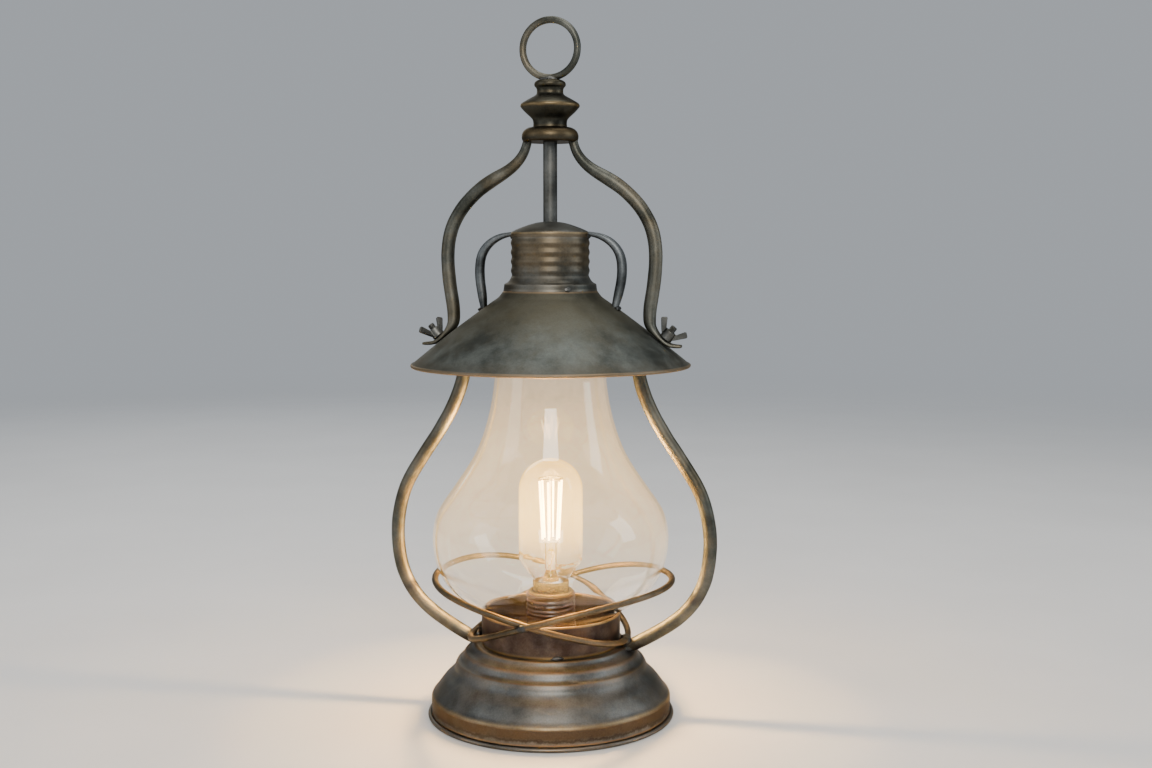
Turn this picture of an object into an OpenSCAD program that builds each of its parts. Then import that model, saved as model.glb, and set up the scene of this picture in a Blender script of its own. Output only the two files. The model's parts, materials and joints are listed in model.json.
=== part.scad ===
// Electric table lamp in the form of an old guarded hand lantern.
// A spun base carries a glass chimney in a gallery, with a screw-in lamp bulb inside.
// Two bent tube arms carry the hood, its vent, the upper arms, the finial and the ring.
// Millimetres. +Z up. The origin is the centre of the base where it stands.

/* [Base] */
// Radius of the upright band at the foot of the base
base_r = 87; // [85:0.5:88]
// Height of the flat top of the base
base_h = 53; // [52.5:0.5:54]
// Radius of the rolled bead round the base pan
bead_r = 89.5; // [89:0.5:91]
// Thickness of the spun sheet metal
sheet_t = 1; // [0.8:0.1:1.1]
// Bore of the cord inlet at the back
inlet_r = 3.1; // [2.8:0.1:3.3]

/* [Gallery and lampholder] */
// Outside radius of the gallery cup that holds the chimney
gallery_r = 50.4; // [50:0.2:51]
// Height of the gallery cup
gallery_h = 22.8; // [20:0.2:24]
// Outside radius of the lampholder sleeve at its foot
holder_r = 18.4; // [18:0.1:19]
// Height at which the lampholder ends
holder_top = 90; // [89:0.5:91]

/* [Bulb] */
// Radius of the screw cap
cap_r = 13.1; // [13:0.05:13.15]
// Radius of the bulb's glass
bulb_r = 23.2; // [20:0.2:24]
// Height of the top of the bulb's glass
bulb_top = 187; // [180:1:190]
// Number of light-giving filaments
filaments = 6; // [4:1:8]
// Length of one filament
filament_l = 42; // [36:1:44]

/* [Chimney] */
// Greatest radius of the chimney glass
chimney_r = 85.2; // [84:0.2:85.6]
// Wall of the chimney glass
glass_t = 1.8; // [1.4:0.1:2.2]
// Height of the top of the chimney glass
chimney_top = 274; // [270:1:275]

/* [Guard and arms] */
// Radius of the arm tubes
tube_r = 5; // [4.6:0.1:5.2]
// Radius of the guard hoop wire
wire_r = 2.3; // [2:0.05:2.4]
// Greatest distance of a lower arm's centre line from the axis
arm_reach = 115.8; // [114:0.2:118]

/* [Hood] */
// Radius at the rim of the hood
rim_r = 100.4; // [99:0.2:101]
// Height of the rim of the hood
rim_z = 254.9; // [254:0.1:256]
// Radius at the top of the hood's slope
throat_r = 37.1; // [36.5:0.1:37.5]
// Height at the top of the hood's slope
throat_z = 303.3; // [302.5:0.1:304]
// How far the slope bulges above a straight line
hood_bulge = 1.1; // [0:0.1:1.5]

/* [Vent] */
// Radius of the vent between its ribs
vent_r = 27.5; // [27.2:0.1:27.6]
// Height of the ribs
rib_h = 0.8; // [0.3:0.1:0.8]
// Number of ribs
ribs = 4; // [3:1:4]
// Spacing of the ribs
rib_pitch = 6.5; // [6:0.1:6.6]
// Height of the top of the vent's wall
vent_top = 346; // [345.8:0.1:346.2]

/* [Finial and ring] */
// Radius of the centre rod
rod_r = 5; // [4.5:0.1:5]
// Height of the underside of the collar
collar_z = 412.5; // [412:0.1:413]
// Radius of the hanging ring's centre line
ring_r = 20; // [18:0.5:22]
// Radius of the hanging ring's wire
ring_wire_r = 2.5; // [2:0.1:3]
// Turn of the ring about the upright axis, in degrees
ring_turn = -4; // [-30:1:45]

/* [Fasteners] */
// Distance of the hood bolts from the axis, on the hood's surface
bolt_at = 80.3; // [80:0.1:81]
// Radius of the hood bolts
bolt_r = 2.5; // [2.4:0.05:2.5]
// Length of bolt above the hood's surface
bolt_out = 14.7; // [14:0.1:16]
// Turn of the left wing nut about its bolt, in degrees
left_nut_turn = 52; // [0:1:180]

/* [Hidden] */
$fn = 96;

pewter = [0.33, 0.32, 0.29];
bronze = [0.42, 0.34, 0.24];
copper = [0.50, 0.33, 0.22];
steel = [0.60, 0.60, 0.58];
brass = [0.78, 0.62, 0.32];
clear_glass = [0.80, 0.85, 0.85, 0.35];

fit = 0.05;            // radial clearance of a shaft in its hole
gap = 0.3;             // gap between moving faces that aren't a fit
foot_t = 1.2;          // half the thickness of a lower arm's flattened end
nut_seat_t = 1.5;      // half the thickness of an upper arm under its wing nut
foot_w = 6;            // half the width of a flattened arm end
floor_z = base_h + sheet_t;            // upper face of the gallery's floor
gallery_top = base_h + gallery_h;
cap_bottom = holder_top - 16.5;        // foot of the bulb's metal cap
bulb_tip = cap_bottom - 3;             // lowest point of the bulb
insert_top = bulb_tip - 2;             // face that the centre contact is fixed to
neck_z = holder_top + 7.5;             // where the bulb's glass leaves its cap
wing_base = 2 * nut_seat_t + 0.8 + gap;    // foot of a wing nut above the hood
vent_cap_top = 356.6;                  // top of the domed cap, at the rod
collar_top = 318.4;                    // top of the flared collar on the vent
insert_z = floor_z + 8;                // foot of the lampholder's insert
screw_at = 10;                         // distance of a terminal screw from the axis
dome_h = 23;                           // height of the bulb's domed end
beyond = 400;                          // longer than any part

// ---------- curves ----------

function unit(v) = v / norm(v);

// One span of a smooth curve from b to c, with a and d as the points on either side
function span(a, b, c, d, t) =
    0.5 * (2 * b + (c - a) * t + (2 * a - 5 * b + 4 * c - d) * t * t
    + (3 * b - a - 3 * c + d) * t * t * t);

// A smooth curve through points p, in n steps a span
function curve(p, n) = let (e = len(p) - 1) [
    for (i = [0 : e - 1], k = [0 : n - 1])
        span(p[max(i - 1, 0)], p[i], p[i + 1], p[min(i + 2, e)], k / n),
    p[e]
];

// Unit normal to the right of the way from a to b
function side(a, b) = let (d = unit(b - a)) [d[1], -d[0]];

function corner_side(p, i) =
    let (
        e = len(p) - 1,
        u = side(p[max(i - 1, 0)], p[max(i, 1)]),
        v = side(p[min(i, e - 1)], p[min(i + 1, e)]),
        m = unit(u + v)
    ) m / max(m * v, 0.6);

// Outline of a wall of thickness t: the path p and the same path moved to its right
function wall(p, t) = concat(p, [
    for (i = [len(p) - 1 : -1 : 0]) p[i] + t * corner_side(p, i)
]);

// A closed shell turned about the axis, from a path [radius, height] that runs downwards
module spun(path, t) {
    rotate_extrude() polygon(wall(path, t));
}

// A solid turned about the axis, from a path that runs downwards
module turned(path, inner = 0) {
    e = len(path) - 1;
    rotate_extrude() polygon(concat([[inner, path[0][1]]], path, [[inner, path[e][1]]]));
}

module ring(r_out, r_in, h, z) {
    translate([0, 0, z]) difference() {
        cylinder(r = r_out, h = h);
        translate([0, 0, -1]) cylinder(r = r_in, h = h + 2);
    }
}

// Faces of a swept skin: rows rings of n points, closed into a loop or capped
function skin_faces(rows, n, loop) = concat(
    [for (i = [0 : rows - (loop ? 1 : 2)], j = [0 : n - 1], half = [0, 1])
        let (a = i * n + j, b = i * n + (j + 1) % n, up = (i + 1) % rows * n)
        half == 0 ? [a, b, up + (j + 1) % n] : [a, up + (j + 1) % n, up + j]],
    loop ? [] : [[for (j = [n - 1 : -1 : 0]) j], [for (j = [0 : n - 1]) (rows - 1) * n + j]]
);

function power(x, e) = sign(x) * pow(abs(x), e);

// A bent tube in the plane y = 0. Each stop is [x, z, half width, half thickness].
module bent_tube(stops, steps, sides) {
    path = curve(stops, steps);
    e = len(path) - 1;
    points = [
        for (i = [0 : e])
            let (
                before = path[max(i - 1, 0)],
                after = path[min(i + 1, e)],
                way = unit([after[0] - before[0], after[1] - before[1]]),
                w = path[i][2],
                t = path[i][3],
                square = 0.45 + 0.55 * min(t / w, 1)
            )
            for (j = [0 : sides - 1])
                let (
                    a = 360 * (j + 0.5) / sides,
                    across = w * power(cos(a), square),
                    out = t * power(sin(a), square)
                )
                [path[i][0] - way[1] * out, across, path[i][1] + way[0] * out]
    ];
    polyhedron(points, skin_faces(e + 1, sides, false));
}

// A closed wire loop of radius r through points p
module wire_loop(p, r, sides) {
    n = len(p);
    points = [
        for (i = [0 : n - 1])
            let (
                way = unit(p[(i + 1) % n] - p[(i + n - 1) % n]),
                level = unit(cross(way, [0, 0, 1])),
                up = cross(level, way)
            )
            for (j = [0 : sides - 1])
                let (a = 360 * j / sides) p[i] + r * (cos(a) * level + sin(a) * up)
    ];
    polyhedron(points, skin_faces(n, sides, true));
}

module mirrored() {
    mirror([1, 0, 0]) children();
}

// ---------- places on the hood ----------

function hood_share(r) = (r - throat_r) / (rim_r - throat_r);

function hood_z(r) = let (s = hood_share(r))
    throat_z - s * (throat_z - rim_z) + 4 * hood_bulge * s * (1 - s);

hood_fall = (throat_z - rim_z - 4 * hood_bulge * (1 - 2 * hood_share(bolt_at)))
    / (rim_r - throat_r);
hood_tilt = atan(hood_fall);           // slope of the hood at the bolts

// A point u down the slope from the right bolt, and h above the hood's surface
function by_bolt(u, h) = [
    bolt_at + u * cos(hood_tilt) + h * sin(hood_tilt),
    hood_z(bolt_at) - u * sin(hood_tilt) + h * cos(hood_tilt)
];

// Puts its children on the right bolt's axis, with z = 0 at the hood's surface
module on_bolt() {
    translate([bolt_at, 0, hood_z(bolt_at)]) rotate([0, hood_tilt, 0]) children();
}

// ---------- base ----------

base_path = concat(
    curve([
        [54.5, base_h], [56, base_h - 0.7], [57.4, base_h - 3], [59.6, base_h - 4.8],
        [62, base_h - 5.7], [63.4, base_h - 7.4], [64.4, base_h - 10.2], [66, base_h - 12],
        [68, base_h - 12.8], [69.3, base_h - 15], [70.4, base_h - 18.2],
        [73, base_h - 21.6], [77, base_h - 25.2], [81, base_h - 30],
        [base_r - 3, 18.6], [base_r - 0.8, 16.4], [base_r, 14.6]
    ], 3),
    [[base_r, 3.4]]
);

module base_shell() {
    color(pewter) difference() {
        spun(concat([[rod_r + fit, base_h]], base_path), sheet_t);
        translate([0, base_r, inlet_z]) rotate([90, 0, 0]) cylinder(r = neck_r, h = 6, center = true);
    }
}

// The outside of the base as a solid, to fit welded ends against
module base_solid() {
    turned(base_path);
}

module base_pan() {
    bead = 1.6;
    color(pewter) rotate_extrude() {
        square([bead_r - bead, 0.8]);
        translate([bead_r - bead, bead]) circle(r = bead, $fn = 32);
    }
}

inlet_z = 9;                           // height of the cord inlet
neck_r = inlet_r + 0.9;
module cord_grommet() {
    flange_r = inlet_r + 1.9;
    face = base_r + 0.16;              // the flat flange clears the round wall
    back = base_r - sheet_t - 0.1;
    color([0.1, 0.1, 0.1]) translate([0, 0, inlet_z]) rotate([-90, 0, 0]) difference() {
        union() {
            translate([0, 0, face]) cylinder(r = flange_r, h = 1.4);
            translate([0, 0, back - 1]) cylinder(r = neck_r - fit, h = face - back + 1.5);
            translate([0, 0, back - 2]) cylinder(r = flange_r, h = 1.8);
        }
        cylinder(r = inlet_r, h = 100);
    }
}

// ---------- gallery and lampholder ----------

module gallery_cup() {
    color(copper) difference() {
        rotate_extrude() {
            translate([gallery_r - sheet_t, base_h]) square([sheet_t, gallery_h - 0.8]);
            translate([gallery_r - 0.8, gallery_top - 0.8]) circle(r = 0.8, $fn = 24);
            translate([0, base_h]) square([gallery_r - 0.1, sheet_t]);
        }
        translate([0, 0, base_h - 1]) cylinder(r = rod_r + fit, h = 5);
    }
}

module holder_nipple() {
    color(brass) ring(rod_r, 3.5, 18, base_h - 7);
}

module nipple_nut() {
    h = 4;
    color(brass) translate([0, 0, base_h - sheet_t - h]) difference() {
        cylinder(r = 8.2, h = h, $fn = 6);
        translate([0, 0, -1]) cylinder(r = rod_r + fit, h = h + 2);
    }
}

module nipple_washer() {
    color(brass) ring(10, rod_r + fit, 1.2, floor_z);
}

sleeve_z = floor_z + 1.2;              // foot of the lampholder
module holder_sleeve() {
    top = holder_top - 1.6;
    color([0.27, 0.14, 0.08]) rotate_extrude() difference() {
        polygon([
            [rod_r + fit, sleeve_z], [holder_r - 2, sleeve_z], [holder_r, sleeve_z + 2],
            [holder_r - 0.6, top - 0.6], [holder_r - 1, top], [rod_r + fit, top]
        ]);
        translate([0, sleeve_z + 2]) square([holder_r - 2.4, 60]);
    }
}

module holder_insert() {
    r = holder_r - 2.5;
    h = insert_top - insert_z;
    color([0.9, 0.88, 0.82]) difference() {
        translate([0, 0, insert_z]) cylinder(r = r, h = h);
        translate([0, 0, insert_z - 1]) cylinder(r = rod_r + fit, h = 3.5);
        for (x = [-1, 1] * screw_at) translate([x, 0, insert_z - 1]) cylinder(r = 1.6, h = 5);
    }
}

module terminal_screws() {
    color(steel) for (x = [-1, 1] * screw_at) translate([x, 0, insert_z]) {
        translate([0, 0, -2.5]) cylinder(r = 2.9, h = 2.4);
        translate([0, 0, -0.2]) cylinder(r = 1.5, h = 3.5);
    }
}

module screw_shell() {
    r = cap_r + 0.25;
    color(brass) union() {
        ring(r + 0.5, r, holder_top - 3 - insert_top, insert_top);
        ring(r + 0.5, 9, 0.6, insert_top);
    }
}

module centre_contact() {
    color(brass) translate([0, 0, insert_top]) {
        translate([-3, -3, 0]) cube([6, 6, 0.5]);
        translate([-3, 2.4, 0]) cube([6, 0.6, 1.7]);
        translate([-3, -3, 1.2]) cube([6, 6, 0.5]);
    }
}

module holder_flange() {
    color(brass) rotate_extrude() polygon([
        [cap_r + 0.7, holder_top - 1.6], [holder_r - 2.1, holder_top - 1.6],
        [holder_r - 2.1, holder_top - 0.6], [holder_r - 2.8, holder_top], [cap_r + 0.7, holder_top]
    ]);
}

// ---------- bulb ----------

module bulb_cap() {
    color([0.75, 0.74, 0.70]) spun(concat(
        [[cap_r + 0.1, neck_z], [cap_r + 0.1, neck_z - 5], [cap_r, neck_z - 5.6]],
        [[cap_r, cap_bottom + 4]],
        [for (a = [15 : 15 : 75]) [cap_r - 4 + 4 * cos(a), cap_bottom + 4 - 4 * sin(a)]],
        [[7.6, cap_bottom]]
    ), 0.4);
}

module bulb_insulator() {
    color([0.08, 0.08, 0.1]) turned([
        [7.5, cap_bottom + 0.6], [7.5, cap_bottom], [4.7, cap_bottom - 2]
    ]);
}

module bulb_contact() {
    color(brass) turned([
        [4.6, bulb_tip + 0.98], [4.2, bulb_tip + 0.4], [3, bulb_tip]
    ]);
}

module bulb_driver() {
    color([0.15, 0.35, 0.2]) translate([0, 0, cap_bottom + 1]) {
        translate([-7, -0.6, 0]) cube([14, 1.2, 14]);
        translate([0, 1.8, 5]) rotate([0, 90, 0]) cylinder(r = 2.4, h = 9, center = true);
    }
}

bulb_path = curve([
    [cap_r - 0.75, neck_z - 3.5], [cap_r - 0.75, neck_z], [cap_r + 0.4, neck_z + 2.5],
    [17, neck_z + 7], [bulb_r - 1.2, neck_z + 14], [bulb_r, neck_z + 22],
    [bulb_r, bulb_top - dome_h]
], 3);
module bulb_glass() {
    dome = [for (a = [90 : -7.5 : 7.5]) [bulb_r * cos(a), bulb_top - dome_h * (1 - sin(a))]];
    lower = [for (i = [len(bulb_path) - 1 : -1 : 0]) bulb_path[i]];
    path = concat([[0.01, bulb_top]], [for (i = [1 : len(dome) - 1]) dome[i]], lower);
    color(clear_glass) rotate_extrude() polygon(concat(
        [[0, bulb_top]], [for (i = [1 : len(path) - 1]) path[i]],
        [for (i = [len(path) - 1 : -1 : 1]) path[i] + 0.8 * corner_side(path, i)],
        [[0, bulb_top - 0.8]]
    ));
}

filament_z = neck_z + 31;              // foot of the filaments
module bulb_stem() {
    color(clear_glass) turned([
        [1.2, filament_z + filament_l + 3], [1.2, neck_z + 24], [3.4, neck_z + 20],
        [3.4, neck_z + 8], [5.5, neck_z + 3], [cap_r - 2.2, neck_z - 2.4], [cap_r - 2.2, neck_z - 3.4]
    ]);
}

// Puts its children at the foot of each filament, leaning out a little
module each_filament() {
    for (i = [0 : filaments - 1]) rotate([0, 0, 360 * (i + 0.5) / filaments])
        translate([6.2, 0, filament_z]) rotate([0, 3, 0]) children();
}

module bulb_filaments() {
    color([1, 0.85, 0.5]) each_filament() cylinder(r = 0.8, h = filament_l, $fn = 24);
}

module bulb_wires() {
    top_z = filament_z + filament_l + 1.6;
    color(steel) {
        translate([0, 0, filament_z - 1.6]) rotate_extrude()
            translate([6.1, 0]) circle(r = 0.4, $fn = 16);
        translate([0, 0, top_z]) rotate_extrude()
            translate([6.3 + filament_l * sin(3), 0]) circle(r = 0.4, $fn = 16);
        for (a = [0, 180]) rotate([0, 0, a]) {
            translate([3.5, 0, filament_z - 1.6]) rotate([0, 90, 0])
                cylinder(r = 0.4, h = 2.6, $fn = 16);
            translate([3.85, 0, neck_z + 9]) cylinder(r = 0.4, h = filament_z - neck_z - 10.6, $fn = 16);
            translate([1.3, 0, top_z]) rotate([0, 90, 0])
                cylinder(r = 0.4, h = 4.9 + filament_l * sin(3), $fn = 16);
        }
    }
}

// ---------- chimney ----------

module chimney_glass() {
    seat = floor_z + gap;
    color(clear_glass) spun(concat(
        [[41, chimney_top]],
        curve([
            [40.2, chimney_top - 4], [39.7, 258], [39.9, 245], [41.9, 230], [44.4, 218], [49.3, 202],
            [56.4, 186.5], [70.2, 166], [81.2, 150], [chimney_r - 0.4, 137.5],
            [chimney_r - 0.3, 123], [81.8, 109.3], [73.9, 94.5], [62, 84.5],
            [51.5, 78.4], [48, 74.2], [47.6, 66]
        ], 3),
        [[47.6, seat]]
    ), glass_t);
}

// ---------- guard and lower arms ----------

lower_arm_stops = [
    [55, 50.4, tube_r, tube_r], [60.5, 53.4, tube_r, tube_r], [75, 61.4, tube_r, tube_r],
    [92, 73, tube_r, tube_r], [104.5, 86.4, tube_r, tube_r],
    [arm_reach - 3.4, 102.5, tube_r, tube_r], [arm_reach - 0.2, 122, tube_r, tube_r],
    [arm_reach - 0.9, 142, tube_r, tube_r], [arm_reach - 7, 164.5, tube_r, tube_r],
    [96.8, 185, tube_r, tube_r], [82.5, 206.5, tube_r, tube_r],
    [71.7, 226, tube_r, tube_r], [65.4, 243, tube_r, tube_r], [63.6, 256, tube_r, tube_r - 0.2],
    [65.4, 264, tube_r + 0.3, tube_r - 1.2], [69.6, 269.6, foot_w - 0.6, 2.2],
    concat(by_bolt(-5.5, -sheet_t - 0.4 - foot_t), [foot_w, foot_t]),
    concat(by_bolt(0, -sheet_t - 0.25 - foot_t), [foot_w, foot_t]),
    concat(by_bolt(7, -sheet_t - 0.4 - foot_t), [foot_w, foot_t])
];

module lower_arm_right() {
    color(bronze) difference() {
        bent_tube(lower_arm_stops, 3, 16);
        base_solid();
        on_bolt() translate([0, 0, -10]) cylinder(r = bolt_r + 0.2, h = 9.5);
    }
}

module lower_arm_left() {
    mirrored() lower_arm_right();
}

// A guard hoop is an egg-shaped loop, high at x = -high and low at x = low
function hoop_points(high, low, z_high, z_low, z_mid, half_y, egg, n = 56) =
    let (
        c = (low - high) / 2,
        a = (low + high) / 2,
        bend = ((z_high - z_mid) / high - (z_mid - z_low) / low) / (high + low),
        fall = (z_high - z_mid) / high - bend * high
    ) [
        for (i = [0 : n - 1])
            let (t = 360 * (i + 0.5) / n, x = c - a * cos(t))
            [x, half_y * sin(t) * (1 + egg * cos(t)), z_mid - fall * x + bend * x * x]
    ];

module guard_hoop_left() {
    color(bronze) wire_loop(hoop_points(82.4, 56, 103.1, 57.8, 83.1, 80.5, 0.12), wire_r, 10);
}

module guard_hoop_right() {
    color(bronze) mirrored()
        wire_loop(hoop_points(88, 56.5, 100, 58.4, 83, 82.2, -0.08), wire_r, 10);
}

// ---------- hood ----------

hood_path = concat(
    [[throat_r - 3.4, throat_z + 4.4], [throat_r - 1.9, throat_z + 2.3]],
    [for (s = [0 : 0.1 : 1]) let (r = throat_r + s * (rim_r - 2.4 - throat_r)) [r, hood_z(r)]]
);
rim_roll = 1.3;                        // radius of the rolled rim
rim_path = [for (a = [100 : -20 : -160])
    [rim_r - rim_roll + rim_roll * cos(a), rim_z + rim_roll * sin(a)]];

module shade() {
    inside = len(hood_path);
    sheet = wall(hood_path, sheet_t);
    color(pewter) difference() {
        rotate_extrude() polygon(concat(
            hood_path, rim_path, [for (i = [inside : 2 * inside - 1]) sheet[i]]
        ));
        for (a = [0, 180]) rotate([0, 0, a]) on_bolt()
            translate([0, 0, -5]) cylinder(r = bolt_r + 0.2, h = 10);
    }
}

collar_path = curve([
    [vent_r + fit, collar_top], [28.3, 316.9], [29.4, 315], [30.9, 313.6], [32.6, 312.7], [33, 312],
    [33.3, 309.8], [33.7, 307.2], [34.3, 303.4]
], 3);
module vent_collar() {
    color(pewter) rotate_extrude() difference() {
        polygon(wall(collar_path, sheet_t));
        square([vent_r + fit, beyond]);
        translate([0, fit]) polygon(concat([[0, throat_z + 4.4]], hood_path, [[0, rim_z]]));
    }
}

vent_foot = 307;                       // lower end of the vent's wall
vent_wall = concat(
    [[vent_r, vent_top]],
    [for (i = [0 : ribs * 8])
        let (z = vent_top - 1.2 - i * rib_pitch / 8)
        [vent_r + rib_h * (1 - cos(45 * i)) / 2, z]],
    [[vent_r, vent_foot]]
);
module vent_body() {
    color(pewter) spun(vent_wall, sheet_t);
}

cap_path = curve([
    [rod_r + fit, vent_cap_top], [9.6, 356], [15.2, 354.5], [21.6, 352.2], [26.2, 350.2], [27.9, 348.8],
    [27.9, vent_top + 0.4], [27.5, vent_top]
], 3);
module vent_cap() {
    color(pewter) rotate_extrude() difference() {
        polygon(wall(cap_path, sheet_t));
        square([rod_r + fit, beyond]);
    }
}

// The outside of the hood and its vent as a solid, to fit soldered ends against
module hood_solid() {
    turned(concat(
        [[rod_r, vent_cap_top]], cap_path,
        [[vent_r + rib_h, vent_top - 0.1], [vent_r + rib_h, collar_top]],
        collar_path, [for (i = [3 : len(hood_path) - 1]) hood_path[i]]
    ));
}

// A handle whose lower end stands out by lean
module vent_handle(lean) {
    color(bronze) difference() {
        bent_tube([
            [25, 348.4, 2.6, 1.4], [30, 347.7, 2.8, 1.7], [37, 346, 3.2, 2.4],
            [44.4, 341.6, 3.5, 3], [49.8, 334.6, 3.7, 3.5], [51.8, 326, 3.7, 3.7],
            [51.4 + lean * 0.15, 316, 3.7, 3.7], [49.5 + lean * 0.4, 306.5, 3.7, 3.6],
            [47.7 + lean * 0.75, 299.5, 3.7, 3], [46.5 + lean, 294.4, 3.6, 1.8],
            [45.9 + lean, 290, 3.4, 1.6]
        ], 3, 12);
        hood_solid();
    }
}

module vent_handle_right() {
    vent_handle(0);
}

module vent_handle_left() {
    mirrored() vent_handle(2.5);
}

// ---------- rod, finial and upper arms ----------

rod_foot = 343.5;
rod_top = 440;
module centre_rod() {
    color(pewter) translate([0, 0, rod_foot]) cylinder(r = rod_r, h = rod_top - rod_foot);
}

module rod_nut() {
    h = 5;
    color(steel) translate([0, 0, 349.6]) difference() {
        cylinder(r = 8.6, h = h, $fn = 6);
        translate([0, 0, -1]) cylinder(r = rod_r + fit, h = h + 2);
    }
}

module finial_collar() {
    z = collar_z;
    color(pewter) turned(curve([
        [12, z + 10.4], [14.6, z + 10.1], [17, z + 9.2], [19, z + 7.4], [20, z + 5.2],
        [20.1, z + 3.2], [19.7, z + 1.3], [18.6, z]
    ], 3), rod_r + fit);
}

module finial_knop() {
    z = collar_z + 10.4;
    color(pewter) difference() {
        turned(curve([
            [9.4, z + 23.9], [9.8, z + 22.8], [11.4, z + 21.6], [14.5, z + 19.9], [18, z + 17.9],
            [20.3, z + 16.4], [21, z + 15.1], [20.6, z + 13.8], [18.4, z + 11.3],
            [15.7, z + 8.7], [13.4, z + 6.6], [12.2, z + 4.8], [11.9, z + 2.4], [12.1, z]
        ], 3));
        translate([0, 0, z - 1]) cylinder(r = rod_r + fit, h = rod_top - z + 1.2);
    }
}

module hanging_loop() {
    z = 500 - ring_r - ring_wire_r;
    translate([0, 0, z]) rotate([90, 0, ring_turn])
        rotate_extrude() translate([ring_r, 0]) circle(r = ring_wire_r, $fn = 48);
}

module finial_cap() {
    z = collar_z + 34.3;
    color(pewter) difference() {
        turned(curve([
            [4, z + 9.4], [8, z + 8.9], [10.4, z + 7.7], [11.2, z + 6.2], [11, z + 4.8],
            [10.1, z + 3.8], [9.5, z + 2.8], [9.3, z + 1.4], [9.4, z]
        ], 3));
        hanging_loop();
    }
}

module hanging_ring() {
    color(bronze) hanging_loop();
}

upper_arm_stops = [
    [15.9, 416, 3.4, 3.4], [17, 411.4, 3.4, 3.4], [18.9, 405.6, 3.5, 3.5], [23, 399.5, 3.8, 3.8],
    [30.2, 393.3, 4.2, 4.2], [40.4, 387.2, tube_r, tube_r], [51.2, 380.2, tube_r, tube_r],
    [61, 371, tube_r, tube_r], [68.4, 361, tube_r, tube_r], [73.2, 350.5, tube_r, tube_r],
    [75.5, 338, tube_r, tube_r], [75.6, 325, tube_r, tube_r], [74.2, 311, tube_r, tube_r],
    [72.2, 298, tube_r, tube_r], [71.6, 290, tube_r, tube_r - 0.2],
    [72, 284.6, tube_r + 0.3, tube_r - 0.6], [74.6, 280.1, foot_w - 0.6, 2.9],
    concat(by_bolt(-3.6, 0.5 + nut_seat_t), [foot_w, nut_seat_t + 0.2]),
    concat(by_bolt(0.6, 0.2 + nut_seat_t), [foot_w, nut_seat_t]),
    concat(by_bolt(4.8, 0.5 + nut_seat_t), [foot_w, nut_seat_t]),
    concat(by_bolt(8.8, 4.3), [foot_w, foot_t + 0.1]),
    concat(by_bolt(12.3, 7), [foot_w - 0.6, foot_t])
];

module upper_arm_right() {
    color(bronze) difference() {
        bent_tube(upper_arm_stops, 3, 16);
        translate([0, 0, collar_z]) cylinder(r = 30, h = 20);
        on_bolt() translate([0, 0, -2]) cylinder(r = bolt_r + 0.2, h = 10);
    }
}

module upper_arm_left() {
    mirrored() upper_arm_right();
}

// ---------- fasteners ----------

module hood_bolts() {
    under = sheet_t + 0.4 + 2 * foot_t;
    head = 3.3;
    color(steel) for (a = [0, 180]) rotate([0, 0, a]) on_bolt() {
        translate([0, 0, -under]) cylinder(r = bolt_r, h = under + bolt_out - 0.5);
        translate([0, 0, bolt_out - 0.5]) cylinder(r1 = bolt_r, r2 = bolt_r - 0.5, h = 0.5);
        translate([0, 0, -under - head]) cylinder(r = 4.6, h = head, $fn = 6);
    }
}

module wing_nut() {
    boss = 6.6;
    wing_t = 2.4;
    color(steel) difference() {
        union() {
            cylinder(r1 = 4.7, r2 = 4.3, h = boss);
            for (m = [0, 1]) mirror([m, 0, 0]) rotate([90, 0, 0])
                linear_extrude(wing_t, center = true) polygon([
                    [3.2, 1.6], [4.6, 1.8], [6.1, 3.2], [11.4, 9.5], [11.6, 10.2], [11.3, 10.8],
                    [9, 12.6], [8.4, 12.7], [7.9, 12.4], [4.2, 6.4], [3.2, 5.8]
                ]);
        }
        translate([0, 0, -1]) cylinder(r = bolt_r + 0.06, h = 20);
    }
}

module wing_nut_right() {
    on_bolt() translate([0, 0, wing_base]) wing_nut();
}

module wing_nut_left() {
    rotate([0, 0, 180]) on_bolt() translate([0, 0, wing_base])
        rotate([0, 0, left_nut_turn]) wing_nut();
}

base_shell();
base_pan();
cord_grommet();
gallery_cup();
lower_arm_left();
lower_arm_right();
guard_hoop_left();
guard_hoop_right();
holder_nipple();
nipple_nut();
nipple_washer();
holder_sleeve();
holder_insert();
terminal_screws();
screw_shell();
centre_contact();
holder_flange();
bulb_cap();
bulb_insulator();
bulb_contact();
bulb_driver();
bulb_glass();
bulb_stem();
bulb_filaments();
bulb_wires();
chimney_glass();
shade();
vent_collar();
vent_body();
vent_cap();
vent_handle_left();
vent_handle_right();
upper_arm_left();
upper_arm_right();
hood_bolts();
wing_nut_left();
wing_nut_right();
centre_rod();
rod_nut();
finial_collar();
finial_knop();
finial_cap();
hanging_ring();
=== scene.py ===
"""The looks of an electric table lamp in the form of an old guarded hand lantern."""

import json
import math

import bmesh
import bpy
from mathutils import Matrix, Vector, noise
from mathutils.bvhtree import BVHTree


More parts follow.
